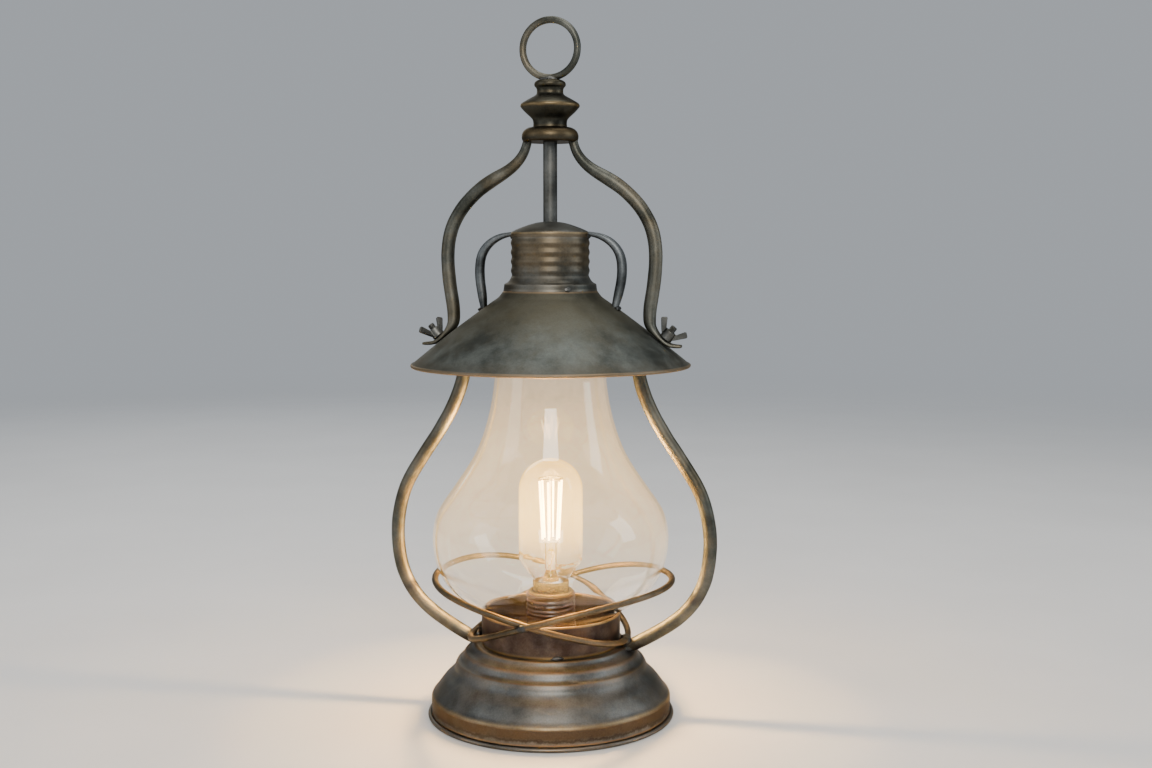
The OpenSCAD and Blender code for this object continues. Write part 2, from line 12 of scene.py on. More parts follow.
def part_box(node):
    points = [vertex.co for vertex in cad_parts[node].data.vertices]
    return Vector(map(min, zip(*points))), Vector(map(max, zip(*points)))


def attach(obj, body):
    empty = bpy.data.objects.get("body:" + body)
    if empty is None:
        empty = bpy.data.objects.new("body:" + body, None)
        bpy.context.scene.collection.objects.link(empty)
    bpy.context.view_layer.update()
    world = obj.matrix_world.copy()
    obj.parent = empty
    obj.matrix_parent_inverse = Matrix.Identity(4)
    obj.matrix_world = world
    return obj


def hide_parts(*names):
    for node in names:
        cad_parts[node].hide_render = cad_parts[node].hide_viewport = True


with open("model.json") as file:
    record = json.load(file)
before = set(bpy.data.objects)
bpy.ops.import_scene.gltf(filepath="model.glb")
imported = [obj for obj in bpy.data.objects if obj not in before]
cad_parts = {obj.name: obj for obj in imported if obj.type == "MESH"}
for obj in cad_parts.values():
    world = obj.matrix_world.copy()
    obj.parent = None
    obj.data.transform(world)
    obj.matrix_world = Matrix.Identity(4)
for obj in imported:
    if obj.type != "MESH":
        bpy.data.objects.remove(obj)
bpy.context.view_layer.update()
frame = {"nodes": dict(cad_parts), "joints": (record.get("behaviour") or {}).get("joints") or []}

MM = 0.001
UP = Vector((0, 0, 1))


# ---------- camera, floor and light ----------

CAMERA_AZIMUTH = math.radians(12.5)
CAMERA_DISTANCE = 1.0173
CAMERA_HEIGHT = 0.3347
CAMERA_PITCH = math.radians(5.27)
CAMERA_SWING = math.radians(1.03)
CAMERA_LENS = 44.47


def camera():
    data = bpy.data.cameras.new("camera")
    data.lens = CAMERA_LENS
    data.sensor_width = 36
    data.clip_start = 0.01
    cam = bpy.data.objects.new("camera", data)
    bpy.context.scene.collection.objects.link(cam)
    cam.location = (
        math.sin(CAMERA_AZIMUTH) * CAMERA_DISTANCE,
        -math.cos(CAMERA_AZIMUTH) * CAMERA_DISTANCE,
        CAMERA_HEIGHT,
    )
    cam.rotation_euler = (math.pi / 2 - CAMERA_PITCH, 0, CAMERA_AZIMUTH - CAMERA_SWING)
    bpy.context.scene.camera = cam


def floor():
    mesh = bpy.data.meshes.new("floor")
    half = 15
    mesh.from_pydata(
        [(-half, -half, 0), (half, -half, 0), (half, half, 0), (-half, half, 0)], [], [(0, 1, 2, 3)]
    )
    obj = bpy.data.objects.new("floor", mesh)
    bpy.context.scene.collection.objects.link(obj)
    mesh.materials.append(plain_floor())


def plain_floor():
    """A pale floor that fades into the background far from the lamp."""
    mat, tree, shader = new_material("plain_floor")
    place = coords(tree, "Object")
    grain = noise_at(tree, place, Scale=6, Detail=4)
    tone = ramp(tree, grain, [(0.3, (0.70, 0.685, 0.66)), (0.7, (0.74, 0.725, 0.70))])
    tree.links.new(tone, shader.inputs["Base Color"])
    shader.inputs["Roughness"].default_value = 0.6
    away = tree.nodes.new("ShaderNodeVectorMath")
    away.operation = "LENGTH"
    tree.links.new(place, away.inputs[0])
    fade = tree.nodes.new("ShaderNodeMapRange")
    fade.interpolation_type = "SMOOTHSTEP"
    tree.links.new(away.outputs["Value"], fade.inputs["Value"])
    fade.inputs["From Min"].default_value = 0.5
    fade.inputs["From Max"].default_value = 3.2
    clear = tree.nodes.new("ShaderNodeBsdfTransparent")
    mix = tree.nodes.new("ShaderNodeMixShader")
    tree.links.new(fade.outputs["Result"], mix.inputs[0])
    tree.links.new(shader.outputs[0], mix.inputs[1])
    tree.links.new(clear.outputs[0], mix.inputs[2])
    tree.links.new(mix.outputs[0], tree.nodes["Material Output"].inputs["Surface"])
    return mat


def area_light(name, spot, aim, size, power, colour):
    data = bpy.data.lights.new(name, "AREA")
    data.shape = "RECTANGLE"
    data.size, data.size_y = size
    data.energy = power
    data.color = colour
    obj = bpy.data.objects.new(name, data)
    bpy.context.scene.collection.objects.link(obj)
    obj.location = spot
    obj.rotation_euler = (Vector(aim) - Vector(spot)).to_track_quat("-Z", "Y").to_euler()


def studio():
    world = bpy.data.worlds.new("world")
    bpy.context.scene.world = world
    world.use_nodes = True
    back = world.node_tree.nodes["Background"]
    back.inputs["Color"].default_value = (0.70, 0.75, 0.81, 1)
    back.inputs["Strength"].default_value = 0.55
    middle = (0, 0, 0.25)
    area_light("key", (0.45, -2.0, 1.30), middle, (0.9, 1.1), 34, (1.0, 0.97, 0.93))
    area_light("side", (1.9, 0.1, 0.9), middle, (0.6, 1.3), 10, (0.86, 0.93, 1.0))
    area_light("fill", (-1.7, -1.0, 0.8), middle, (0.9, 1.3), 6, (0.95, 0.97, 1.0))
    area_light("top", (0.1, 0.3, 2.1), middle, (1.4, 1.2), 22, (1.0, 0.99, 0.97))
    area_light("back", (-1.1, 1.7, 1.1), middle, (1.2, 1.2), 7, (0.95, 0.97, 1.0))


def bulb_light():
    """Warm light from the middle of the filaments."""
    lo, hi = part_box("bulb_filaments")
    data = bpy.data.lights.new("bulb_light", "POINT")
    data.energy = 6.0
    data.color = (1.0, 0.56, 0.17)
    data.shadow_soft_size = 0.010
    obj = bpy.data.objects.new("bulb_light", data)
    bpy.context.scene.collection.objects.link(obj)
    obj.location = (lo + hi) / 2
    obj.visible_camera = False
    obj.visible_transmission = False


# ---------- material helpers ----------

def new_material(name):
    mat = bpy.data.materials.new(name)
    mat.use_nodes = True
    tree = mat.node_tree
    return mat, tree, tree.nodes["Principled BSDF"]


def coords(tree, kind):
    return tree.nodes.new("ShaderNodeTexCoord").outputs[kind]


def feed(tree, socket, value):
    """Links a socket, or sets its value."""
    if isinstance(value, bpy.types.NodeSocket):
        tree.links.new(value, socket)
    elif isinstance(value, tuple) and len(value) == 3 and socket.type == "RGBA":
        socket.default_value = (*value, 1)
    else:
        socket.default_value = value


def noise_at(tree, vector, **values):
    """Procedural noise, from about 0 to 1."""
    node = tree.nodes.new("ShaderNodeTexNoise")
    tree.links.new(vector, node.inputs["Vector"])
    for name, value in values.items():
        node.inputs[name].default_value = value
    return node.outputs["Fac"]


def stretch(tree, vector, scale):
    node = tree.nodes.new("ShaderNodeMapping")
    tree.links.new(vector, node.inputs["Vector"])
    node.inputs["Scale"].default_value = scale
    return node.outputs["Vector"]


def ramp(tree, value, stops):
    """Colours at places along 0 to 1."""
    node = tree.nodes.new("ShaderNodeValToRGB")
    tree.links.new(value, node.inputs["Fac"])
    ends = node.color_ramp.elements
    while len(ends) < len(stops):
        ends.new(0.5)
    for end, (place, colour) in zip(ends, stops):
        end.position = place
        end.color = (*colour, 1)
    return node.outputs["Color"]


def span(tree, value, low, high, out_low=0.0, out_high=1.0):
    """Value mapped from low..high to out_low..out_high, clamped."""
    node = tree.nodes.new("ShaderNodeMapRange")
    feed(tree, node.inputs["Value"], value)
    for name, number in zip(("From Min", "From Max", "To Min", "To Max"), (low, high, out_low, out_high)):
        node.inputs[name].default_value = number
    return node.outputs["Result"]


def math_node(tree, kind, a, b=0.0):
    node = tree.nodes.new("ShaderNodeMath")
    node.operation = kind
    feed(tree, node.inputs[0], a)
    feed(tree, node.inputs[1], b)
    return node.outputs["Value"]


def blend_colour(tree, share, a, b, kind="MIX"):
    node = tree.nodes.new("ShaderNodeMix")
    node.data_type = "RGBA"
    node.blend_type = kind
    feed(tree, node.inputs[0], share)
    feed(tree, node.inputs[6], a)
    feed(tree, node.inputs[7], b)
    return node.outputs[2]


def attribute(tree, name):
    node = tree.nodes.new("ShaderNodeAttribute")
    node.attribute_name = name
    return node.outputs["Fac"]


def bump(tree, height, depth, strength=1.0, below=None):
    node = tree.nodes.new("ShaderNodeBump")
    tree.links.new(height, node.inputs["Height"])
    node.inputs["Distance"].default_value = depth
    node.inputs["Strength"].default_value = strength
    if below is not None:
        tree.links.new(below, node.inputs["Normal"])
    return node.outputs["Normal"]


def level(node, share):
    """A height between the foot (0) and the top (1) of a node."""
    lo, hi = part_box(node)
    return lo.z + (hi.z - lo.z) * share


# ---------- materials ----------

COPPER = (0.40, 0.215, 0.095)
GOLD = (0.46, 0.31, 0.13)
BROWN = (0.062, 0.041, 0.024)
# Near-black: soot, chips and heat marks, and painted shade under the finial collar.
SOOT_AND_SHADE = (0.022, 0.016, 0.011)

# Patina dulls the metal where it is seen at a low angle.
GRIMY_RIM = (0.50, 0.48, 0.45, 1)

# Colours of the painted glow on the glass, from far off to close by.
PAINTED_GLOW = [(0.0, (0.20, 0.100, 0.008)), (0.45, (0.58, 0.31, 0.030)), (1.0, (1.0, 0.60, 0.08))]

# Brush lines round a turned piece, or along a bar.
AROUND = (12, 1700, 1)
ALONG = (1700, 12, 1)


def with_zones(tree, tone, place, patches, zones):
    """Bands of colour with ragged edges, thinner where the patches are dark.

    Each zone is (lowest height, greatest height, softness, raggedness, colour, share).
    """
    apart = tree.nodes.new("ShaderNodeSeparateXYZ")
    tree.links.new(place, apart.inputs[0])
    ragged = noise_at(tree, place, Scale=95, Detail=7, Roughness=0.72)
    cover = span(tree, patches, 0.30, 0.5, 0.45, 1)
    for low, high, soft, rag, colour, share in zones:
        shift = span(tree, ragged, 0.2, 0.8, -rag, rag)
        height = math_node(tree, "ADD", apart.outputs["Z"], shift)
        into = span(tree, height, low - soft, low + soft, 0, share)
        out_of = span(tree, height, high - soft, high + soft, 1, 0)
        inside = math_node(tree, "MULTIPLY", math_node(tree, "MULTIPLY", into, out_of), cover)
        tone = blend_colour(tree, inside, tone, colour)
    return tone


def aged_metal(name, dark, light, warm, rub, rough=(0.38, 0.55), warm_share=0.45, brushed=0.5, pits=0.5,
               grain=AROUND, zones=()):
    """Patinated metal: patches, warm stains, dark and light spots, zones, rubbed edges, grain and pits."""
    mat, tree, shader = new_material(name)
    place = coords(tree, "Object")
    patches = noise_at(tree, place, Scale=34, Detail=6, Roughness=0.62, Distortion=0.1)
    stains = noise_at(tree, place, Scale=15, Detail=8, Roughness=0.70, Distortion=0.25)
    spots = noise_at(tree, place, Scale=75, Detail=7, Roughness=0.75)
    specks = noise_at(tree, place, Scale=850, Detail=3, Roughness=0.7)
    lines = noise_at(tree, stretch(tree, coords(tree, "UV"), grain), Scale=1, Detail=2)
    dents = noise_at(tree, place, Scale=60, Detail=2)
    tone = blend_colour(tree, span(tree, patches, 0.39, 0.61), dark, light)
    tone = blend_colour(tree, span(tree, stains, 0.47, 0.66, 0, warm_share), tone, warm)
    tone = blend_colour(tree, span(tree, spots, 0.60, 0.68, 0, 0.5), tone, dark)
    tone = blend_colour(tree, span(tree, spots, 0.37, 0.30, 0, 0.35), tone, light)
    if zones:
        tone = with_zones(tree, tone, place, patches, zones)
    tone = blend_colour(tree, 1.0, tone, span(tree, specks, 0.35, 0.7, 0.84, 1.13), "MULTIPLY")
    rubbed = math_node(tree, "MULTIPLY", attribute(tree, "wear"), span(tree, stains, 0.30, 0.62, 0.30, 1.0))
    tone = blend_colour(tree, rubbed, tone, rub)
    tree.links.new(tone, shader.inputs["Base Color"])
    shader.inputs["Metallic"].default_value = 1.0
    shader.inputs["Specular Tint"].default_value = GRIMY_RIM
    haze = span(tree, patches, 0.3, 0.7, rough[0], rough[1])
    haze = math_node(tree, "ADD", haze, span(tree, specks, 0.3, 0.7, -0.04, 0.05))
    haze = math_node(tree, "SUBTRACT", haze, span(tree, rubbed, 0, 1, 0, 0.10))
    tree.links.new(haze, shader.inputs["Roughness"])
    relief = bump(tree, lines, 0.02 * MM, brushed)
    relief = bump(tree, specks, 0.05 * MM, pits, relief)
    tree.links.new(bump(tree, dents, 0.5 * MM, 0.35, relief), shader.inputs["Normal"])
    return mat


def painted_glow(tree, place, dust_and_glow, reach, fade):
    """A painted glow on the glass, standing in for light scattered from the lamp: patchy with dust, it
    fades out at the reach from the filaments and at a depth below them.
    """
    lo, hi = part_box("bulb_filaments")
    away = tree.nodes.new("ShaderNodeVectorMath")
    away.operation = "DISTANCE"
    tree.links.new(place, away.inputs[0])
    away.inputs[1].default_value = (lo + hi) / 2
    brightest = 0.12 * reach
    lit = ramp(tree, span(tree, away.outputs["Value"], reach, brightest), PAINTED_GLOW)
    apart = tree.nodes.new("ShaderNodeSeparateXYZ")
    tree.links.new(place, apart.inputs[0])
    height = span(tree, apart.outputs["Z"], lo.z - fade, lo.z)
    speck = math_node(tree, "MULTIPLY", height, span(tree, dust_and_glow, 0.3, 0.7, 0.8, 1.2))
    return blend_colour(tree, 1.0, lit, speck, "MULTIPLY")


def without_shadow(tree, shader):
    """Lets nearly all light through the glass on its way to other surfaces."""
    ray = tree.nodes.new("ShaderNodeLightPath")
    through = tree.nodes.new("ShaderNodeBsdfTransparent")
    through.inputs["Color"].default_value = (0.95, 0.95, 0.95, 1)
    mix = tree.nodes.new("ShaderNodeMixShader")
    tree.links.new(ray.outputs["Is Shadow Ray"], mix.inputs[0])
    tree.links.new(shader.outputs[0], mix.inputs[1])
    tree.links.new(through.outputs[0], mix.inputs[2])
    tree.links.new(mix.outputs[0], tree.nodes["Material Output"].inputs["Surface"])


def clear_glass(name, tint, wave, glow, reach, fade):
    """Clear blown glass, slightly wavy, with a painted glow of the lamp on it, patchy with dust."""
    mat, tree, shader = new_material(name)
    place = coords(tree, "Object")
    dust_and_glow = noise_at(tree, place, Scale=160, Detail=6, Roughness=0.7)
    tree.links.new(ramp(tree, dust_and_glow, [(0.3, tint), (0.7, (1.0, 1.0, 1.0))]), shader.inputs["Base Color"])
    tree.links.new(span(tree, dust_and_glow, 0.55, 0.8, 0.0, 0.03), shader.inputs["Roughness"])
    shader.inputs["IOR"].default_value = 1.47
    shader.inputs["Transmission Weight"].default_value = 1.0
    tree.links.new(painted_glow(tree, place, dust_and_glow, reach, fade), shader.inputs["Emission Color"])
    shader.inputs["Emission Strength"].default_value = glow
    swirl = noise_at(tree, stretch(tree, place, (1, 1, 0.45)), Scale=26, Detail=1)
    tree.links.new(bump(tree, swirl, wave), shader.inputs["Normal"])
    without_shadow(tree, shader)
    return mat


def lit_filament():
    mat, tree, shader = new_material("lit_filament")
    grain = noise_at(tree, coords(tree, "Object"), Scale=700, Detail=2)
    glow = ramp(tree, grain, [(0.3, (1.0, 0.60, 0.24)), (0.7, (1.0, 0.72, 0.38))])
    tree.links.new(glow, shader.inputs["Base Color"])
    tree.links.new(glow, shader.inputs["Emission Color"])
    shader.inputs["Emission Strength"].default_value = 400
    shader.inputs["Roughness"].default_value = 0.5
    return mat


def brown_resin():
    """Moulded brown resin, glossy, with swirled darker and redder bands."""
    mat, tree, shader = new_material("brown_resin")
    layers = noise_at(tree, stretch(tree, coords(tree, "Object"), (18, 18, 260)), Scale=1, Detail=4)
    tone = ramp(tree, layers, [
        (0.30, (0.012, 0.005, 0.002)), (0.50, (0.030, 0.012, 0.005)), (0.70, (0.085, 0.036, 0.012))
    ])
    tree.links.new(tone, shader.inputs["Base Color"])
    scuffs = noise_at(tree, coords(tree, "Object"), Scale=420, Detail=4)
    tree.links.new(span(tree, scuffs, 0.3, 0.7, 0.24, 0.42), shader.inputs["Roughness"])
    tree.links.new(bump(tree, scuffs, 0.03 * MM), shader.inputs["Normal"])
    shader.inputs["Coat Weight"].default_value = 0.3
    return mat


def moulded(name, dark, light, rough, scale=350, depth=0.03 * MM):
    """A matt moulded or fired material with a fine grain."""
    mat, tree, shader = new_material(name)
    grain = noise_at(tree, coords(tree, "Object"), Scale=scale, Detail=5, Roughness=0.65)
    tree.links.new(ramp(tree, grain, [(0.3, dark), (0.7, light)]), shader.inputs["Base Color"])
    tree.links.new(span(tree, grain, 0.3, 0.7, rough - 0.06, rough + 0.08), shader.inputs["Roughness"])
    tree.links.new(bump(tree, grain, depth), shader.inputs["Normal"])
    return mat


def bands(node, *rows):
    """Zones of a node, with their heights as shares of its own and their edges in millimetres."""
    return [
        (level(node, low), level(node, high), soft * MM, rag * MM, colour, share)
        for low, high, soft, rag, colour, share in rows
    ]


def base_zones():
    return bands(
        "base_shell",
        (0.09, 0.25, 1.2, 1.6, BROWN, 0.85),
        (0.05, 0.10, 0.8, 3.2, SOOT_AND_SHADE, 0.75),
        # The gold line at the shoulder and the copper lines on the two ridges are rubbed metal and painted
        # highlight.
        (0.235, 0.27, 0.9, 0.6, GOLD, 0.5),
        (0.85, 0.88, 0.8, 0.9, COPPER, 0.30),
        (0.69, 0.72, 0.9, 0.9, COPPER, 0.12),
    )


def shade_zones():
    return bands(
        "shade",
        # The warm band on the rolled rim is worn copper and painted highlight.
        (-0.1, 0.020, 0.4, 0.4, (0.20, 0.145, 0.085), 0.6),
        (0.03, 0.12, 3, 3, (0.085, 0.065, 0.042), 0.35),
        (0.50, 1.2, 9, 7, (0.092, 0.078, 0.046), 0.6),
    )


def vent_zones():
    return bands(
        "vent_body",
        (0.99, 1.06, 0.5, 0.5, (0.17, 0.115, 0.055), 0.7),
        # The gold line at the cap's rolled edge is rubbed metal and painted highlight.
        (1.055, 1.08, 0.4, 0.3, GOLD, 0.6),
        (0.45, 1.0, 5, 6, (0.17, 0.125, 0.070), 0.6),
    )


def finial_zones():
    # The band round the widest part of the knop is rubbed metal and painted highlight.
    return bands("finial_knop", (0.59, 0.66, 0.7, 0.5, (0.30, 0.21, 0.10), 0.6)) + bands(
        "finial_collar",
        (0.35, 0.85, 1.6, 1.0, (0.15, 0.105, 0.052), 0.6),
        # Painted shade: the underside of the collar is darkened.
        (-0.2, 0.12, 0.8, 0.4, SOOT_AND_SHADE, 0.9),
    )


def arm_zones():
    """Dark marks of heat above the welds."""
    foot, mark = level("lower_arm_right", 0), level("lower_arm_right", 0.17)
    return [
        (foot, foot + 9 * MM, 3 * MM, 4 * MM, SOOT_AND_SHADE, 0.75),
        (mark, mark + 5 * MM, 2.5 * MM, 5 * MM, (0.05, 0.045, 0.045), 0.7),
    ]


def all_materials():
    bronze = dict(dark=(0.054, 0.056, 0.046), light=(0.150, 0.150, 0.127), warm=(0.205, 0.148, 0.075),
                  rub=GOLD, rough=(0.42, 0.54), warm_share=0.5, brushed=0.03, pits=0.12, grain=ALONG)
    return {
        "shade": aged_metal("shade_metal", (0.060, 0.065, 0.058), (0.140, 0.150, 0.135),
                            (0.088, 0.074, 0.048), (0.28, 0.20, 0.12), rough=(0.48, 0.62), warm_share=0.55,
                            brushed=0.15, zones=shade_zones()),
        "base": aged_metal("base_pewter", (0.092, 0.094, 0.087), (0.165, 0.166, 0.156),
                           (0.120, 0.088, 0.057), (0.28, 0.185, 0.100), rough=(0.36, 0.48), warm_share=0.4,
                           zones=base_zones()),
        "vent": aged_metal("vent_pewter", (0.052, 0.054, 0.048), (0.135, 0.138, 0.126),
                           (0.120, 0.088, 0.050), (0.22, 0.20, 0.16), rough=(0.40, 0.56), warm_share=0.5,
                           brushed=0.25, zones=vent_zones()),
        "turned": aged_metal("turned_metal", (0.060, 0.063, 0.060), (0.160, 0.164, 0.154),
                             (0.110, 0.088, 0.055), GOLD, rough=(0.46, 0.58), warm_share=0.35,
                             brushed=0.1, pits=0.2),
        "finial": aged_metal("finial_metal", (0.024, 0.023, 0.018), (0.070, 0.067, 0.052),
                             (0.085, 0.060, 0.028), (0.24, 0.17, 0.08), rough=(0.36, 0.48), warm_share=0.5,
                             zones=finial_zones()),
        "handle": aged_metal("handle_steel", (0.058, 0.064, 0.066), (0.185, 0.200, 0.205),
                             (0.120, 0.088, 0.050), (0.24, 0.22, 0.18), rough=(0.42, 0.54), warm_share=0.3,
                             brushed=0.05, pits=0.15, grain=ALONG),
        "bronze": aged_metal("bronze", **bronze),
        "arm": aged_metal("arm_bronze", zones=arm_zones(), **bronze),
        "wire": aged_metal("bronze_wire", (0.065, 0.053, 0.035), (0.165, 0.135, 0.093),
                           (0.25, 0.162, 0.075), GOLD, rough=(0.36, 0.48), warm_share=0.65,
                           brushed=0.05, pits=0.12, grain=ALONG),
        "cup": aged_metal("copper_brown", (0.040, 0.030, 0.026), (0.110, 0.088, 0.079),
                          (0.130, 0.082, 0.050), GOLD, rough=(0.34, 0.48), warm_share=0.5, brushed=0.3),
        "zinc": aged_metal("dull_zinc", (0.065, 0.067, 0.062), (0.165, 0.168, 0.158), (0.11, 0.090, 0.060),
                           (0.34, 0.33, 0.30), rough=(0.36, 0.50), warm_share=0.35, brushed=0.1),
        "brass": aged_metal("brass", (0.40, 0.25, 0.050), (0.60, 0.40, 0.100), (0.34, 0.195, 0.040),
                            (0.78, 0.56, 0.18), rough=(0.20, 0.32), warm_share=0.35, brushed=0.4),
        "solder": aged_metal("solder", (0.085, 0.086, 0.080), (0.190, 0.188, 0.178), (0.11, 0.085, 0.055),
                             (0.30, 0.29, 0.27), rough=(0.38, 0.54), warm_share=0.4, brushed=0.0, pits=1.0),
        "weld": aged_metal("weld", (0.035, 0.037, 0.036), (0.100, 0.104, 0.102), (0.10, 0.066, 0.040),
                           (0.22, 0.19, 0.16), rough=(0.34, 0.5), warm_share=0.5, brushed=0.0, pits=1.0),
        # The chimney and bulb glass carry a painted glow: they give off light though neither is a lamp.
        "chimney": clear_glass("chimney_clear", (1.0, 0.972, 0.90), 0.08 * MM, 0.36, 120 * MM, 32 * MM),
        "bulb": clear_glass("bulb_clear", (1.0, 0.985, 0.95), 0.02 * MM, 1.1, 45 * MM, 30 * MM),
        "filament": lit_filament(),
        "resin": brown_resin(),
        "ceramic": moulded("fired_white", (0.70, 0.68, 0.62), (0.86, 0.84, 0.79), 0.5),
        "insulator": moulded("black_insulator", (0.012, 0.012, 0.016), (0.04, 0.04, 0.048), 0.22),
        "board": moulded("green_board", (0.03, 0.11, 0.05), (0.06, 0.19, 0.09), 0.42),
        "rubber": moulded("black_rubber", (0.014, 0.014, 0.014), (0.032, 0.031, 0.030), 0.62,
                          scale=500, depth=0.05 * MM),
    }


MATERIALS = all_materials()


# ---------- mesh helpers ----------

# Bends, in radians: a sharp edge, a corner that isn't smoothed, no bend, and where edges are worn.
SHARP = math.radians(33)
CORNER = 0.3
STRAIGHT = 0.004
WORN_FROM, WORN_TO = 0.25, 1.05

ON_AXIS = 1e-6
SAME_POINT = 0.02 * MM
DENT_SIZE = 45 * MM
TUBE_DENT_SIZE = 11 * MM
WIRE_DENT_SIZE = 8 * MM


def uneven(point, size):
    """Noise from about -1.5 to 0: it only takes material away."""
    return min(noise.noise(point / size), 0.5) - 0.5


def add_piece(name, verts, faces, material, body, nodes, wear=None, uvs=None):
    """A finished mesh object that rides on a body and stands for CAD nodes."""
    mesh = bpy.data.meshes.new(name)
    mesh.from_pydata(verts, [], faces)
    mesh.update()
    mesh.attributes.new("wear", "FLOAT", "POINT").data.foreach_set("value", wear or [0.0] * len(verts))
    if uvs is not None:
        layer = mesh.uv_layers.new(name="UVMap")
        layer.data.foreach_set("uv", [x for face in uvs for uv in face for x in uv])
    mesh.shade_smooth()
    mesh.set_sharp_from_angle(angle=SHARP)
    mesh.materials.append(MATERIALS[material])
    obj = bpy.data.objects.new(name, mesh)
    bpy.context.scene.collection.objects.link(obj)
    if nodes:
        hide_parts(*nodes)
    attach(obj, body)


def section(node):
    """Where the plane x = 0 cuts the front half of a turned node: lists of (radius, height)."""
    bm = bmesh.new()
    bm.from_mesh(frame["nodes"][node].data)
    bmesh.ops.remove_doubles(bm, verts=bm.verts, dist=1e-6)
    everything = bm.verts[:] + bm.edges[:] + bm.faces[:]
    cut = bmesh.ops.bisect_plane(bm, geom=everything, dist=1e-7, plane_co=(0, 0, 0), plane_no=(1, 0, 0))
    near = {}
    for edge in cut["geom_cut"]:
        if isinstance(edge, bmesh.types.BMEdge) and min(v.co.y for v in edge.verts) < -1e-5:
            a, b = edge.verts
            near.setdefault(a, []).append(b)
            near.setdefault(b, []).append(a)
    loops, seen = [], set()
    for start in sorted(near, key=lambda v: len(near[v])):
        if start in seen:
            continue
        loop, here = [], start
        while here is not None:
            seen.add(here)
            loop.append((max(-here.co.y, 0.0), here.co.z))
            here = next((v for v in near[here] if v not in seen), None)
        if len(loop) > 2:
            loops.append(loop)
    bm.free()
    return loops


def way_between(a, b):
    return Vector((b[0] - a[0], b[1] - a[1])).normalized()


def turning(a, b, c):
    """Turn at b on the way from a to c: positive to the right."""
    u, v = way_between(a, b), way_between(b, c)
    return u.angle_signed(v, 0.0) if u.length > 0.5 and v.length > 0.5 else 0.0


def tidy_outline(loop):
    """The outline clockwise in (radius, height), without doubled points or points on a straight line."""
    area = sum(a[0] * b[1] - b[0] * a[1] for a, b in zip(loop, loop[1:] + loop[:1]))
    if area > 0:
        loop = loop[::-1]
    kept = []
    for p in loop:
        if not kept or math.dist(p, kept[-1]) > SAME_POINT:
            kept.append(p)
    return [
        p for i, p in enumerate(kept)
        if abs(turning(kept[i - 1], p, kept[(i + 1) % len(kept)])) > STRAIGHT
    ]


def resample(loop, step, passes):
    """The outline with its gentle bends made smooth: a closed ring of (radius, height)."""
    count = len(loop)
    bends = [abs(turning(loop[i - 1], loop[i], loop[(i + 1) % count])) for i in range(count)]

    def way_at(i, own):
        """The direction at point i: that of the longer side where one is much longer."""
        i %= count
        if bends[i] > SHARP:
            return own
        before, after = loop[i - 1], loop[(i + 1) % count]
        far_before, far_after = math.dist(before, loop[i]), math.dist(loop[i], after)
        if far_before > 3 * far_after:
            return way_between(before, loop[i])
        if far_after > 3 * far_before:
            return way_between(loop[i], after)
        return (way_between(before, loop[i]) + way_between(loop[i], after)).normalized()

    made = []
    for i in range(count):
        b, c = Vector(loop[i]), Vector(loop[(i + 1) % count])
        gap = (c - b).length
        own = way_between(b, c)
        leave, arrive = way_at(i, own) * gap, way_at(i + 1, own) * gap
        on_axis = b.x < ON_AXIS and c.x < ON_AXIS
        pieces = 1 if on_axis else max(1, round(gap / step))
        for k in range(pieces):
            t = k / pieces
            p = (
                b * (2 * t ** 3 - 3 * t * t + 1) + leave * (t ** 3 - 2 * t * t + t)
                + c * (3 * t * t - 2 * t ** 3) + arrive * (t ** 3 - t * t)
            )
            made.append((max(p.x, 0.0), p.y))
    return without_ripples(made, passes)


def without_ripples(ring, passes):
    """The outline with its small ripples evened out and its corners kept."""
    count = len(ring)
    kept = [
        abs(turning(ring[i - 1], ring[i], ring[(i + 1) % count])) > CORNER or ring[i][0] < ON_AXIS
        for i in range(count)
    ]
    held = [any(kept[(i + k) % count] for k in (-1, 0, 1)) for i in range(count)]
    for _ in range(passes):
        ring = [
            p if held[i] else tuple(
                (ring[i - 1][n] + 2 * p[n] + ring[(i + 1) % count][n]) / 4 for n in (0, 1)
            )
            for i, p in enumerate(ring)
        ]
    return ring


def edge_wear(ring, reach=1.6 * MM):
    """How much each point of a clockwise outline stands out, from 0 to 1."""
    count = len(ring)

    def look(i, way):
        for j in range(1, count // 3):
            p = ring[(i + way * j) % count]
            if math.dist(p, ring[i]) >= reach:
                return p
        return p

    bends = [turning(look(i, -1), ring[i], look(i, 1)) for i in range(count)]
    return [min(max((bend - WORN_FROM) / (WORN_TO - WORN_FROM), 0.0), 1.0) for bend in bends]


def lathe_faces(rows, lengths, far, sides):
    """The faces between rings of points, with their UVs. A ring of one point lies on the axis."""
    faces, uvs = [], []
    for i, upper in enumerate(rows):
        lower = rows[(i + 1) % len(rows)]
        if len(upper) == len(lower) == 1:
            continue
        v0, v1 = lengths[i], lengths[i + 1]
        for s in range(sides):
            t = (s + 1) % sides
            u0, u1 = far * 2 * math.pi * s / sides, far * 2 * math.pi * (s + 1) / sides
            corners = [(upper[s % len(upper)], (u0, v0)), (lower[s % len(lower)], (u0, v1)),
                       (lower[t % len(lower)], (u1, v1)), (upper[t % len(upper)], (u1, v0))]
            if len(upper) == 1:
                corners.pop()
            if len(lower) == 1:
                corners.pop(2)
            faces.append(tuple(c[0] for c in corners))
            uvs.append(tuple(c[1] for c in corners))
    return faces, uvs


